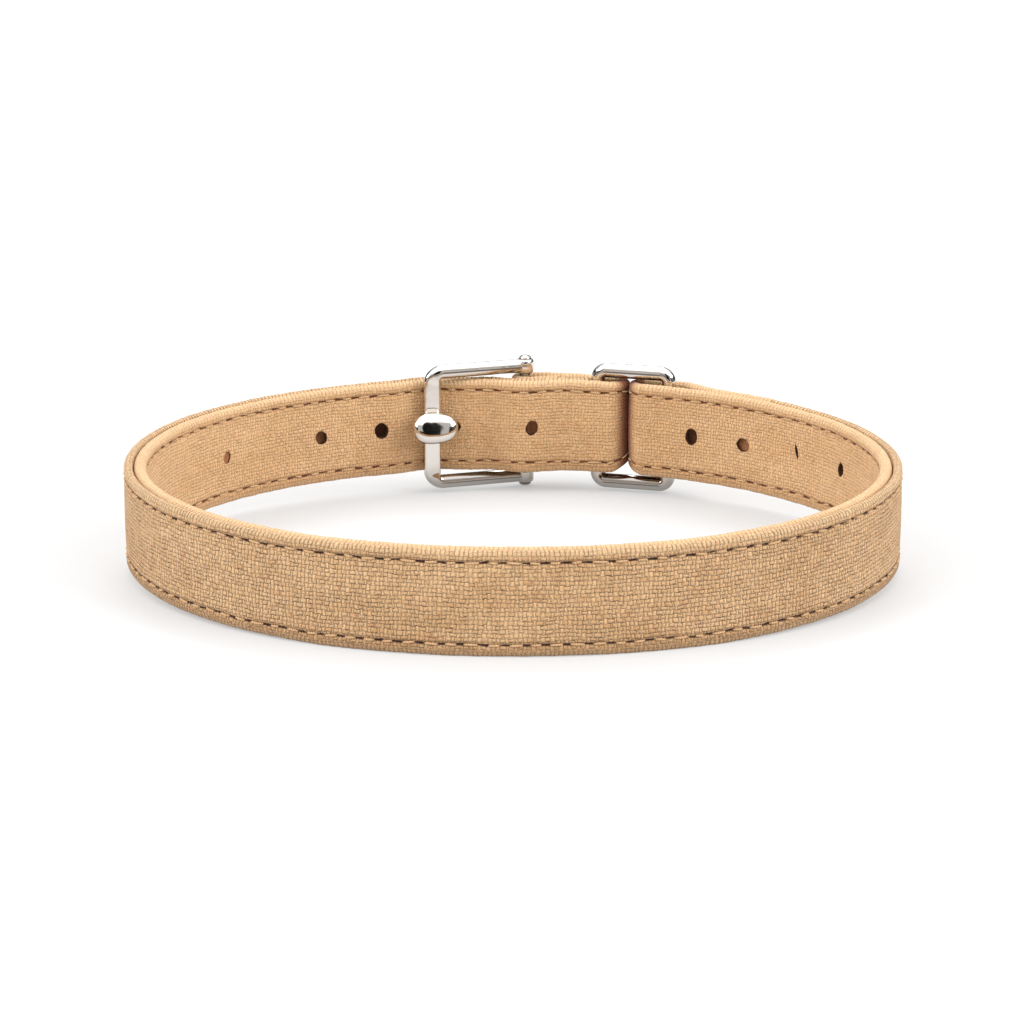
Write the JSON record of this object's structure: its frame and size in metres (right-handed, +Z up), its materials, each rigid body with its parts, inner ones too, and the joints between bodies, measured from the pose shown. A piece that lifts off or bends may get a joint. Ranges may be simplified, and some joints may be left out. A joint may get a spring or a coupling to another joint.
{
  "type": "dog collar",
  "caption": "Slim canvas dog collar closed in a loop, with a heel-bar buckle, a ball-tipped prong and a square ring joining its folded strap.",
  "frame": {"origin": "bottom centre of the whole collar's box, on the surface it stands on", "axes": "+Z up out of the surface, +X along the collar's long side, +Y from the plain front stretch towards the buckle and ring"},
  "size_m": [0.1306, 0.1076, 0.0246],
  "materials": {
    "canvas_outer": "coarse tan canvas, matt, sewn near both edges with tan thread",
    "canvas_inner": "softer tan canvas, matt, sewn near both edges with tan thread",
    "frame_steel": "polished plating",
    "pin_steel": "polished plating, a little duller at the riveted heads",
    "prong_steel": "polished plating",
    "ring_steel": "polished plating"
  },
  "bodies": {
    "root": {"strap_outer_layer": "canvas_outer", "strap_inner_layer": "canvas_inner", "buckle_frame": "frame_steel", "heel_pin": "pin_steel", "prong": "prong_steel", "square_ring": "ring_steel"}
  },
  "joints": []
}
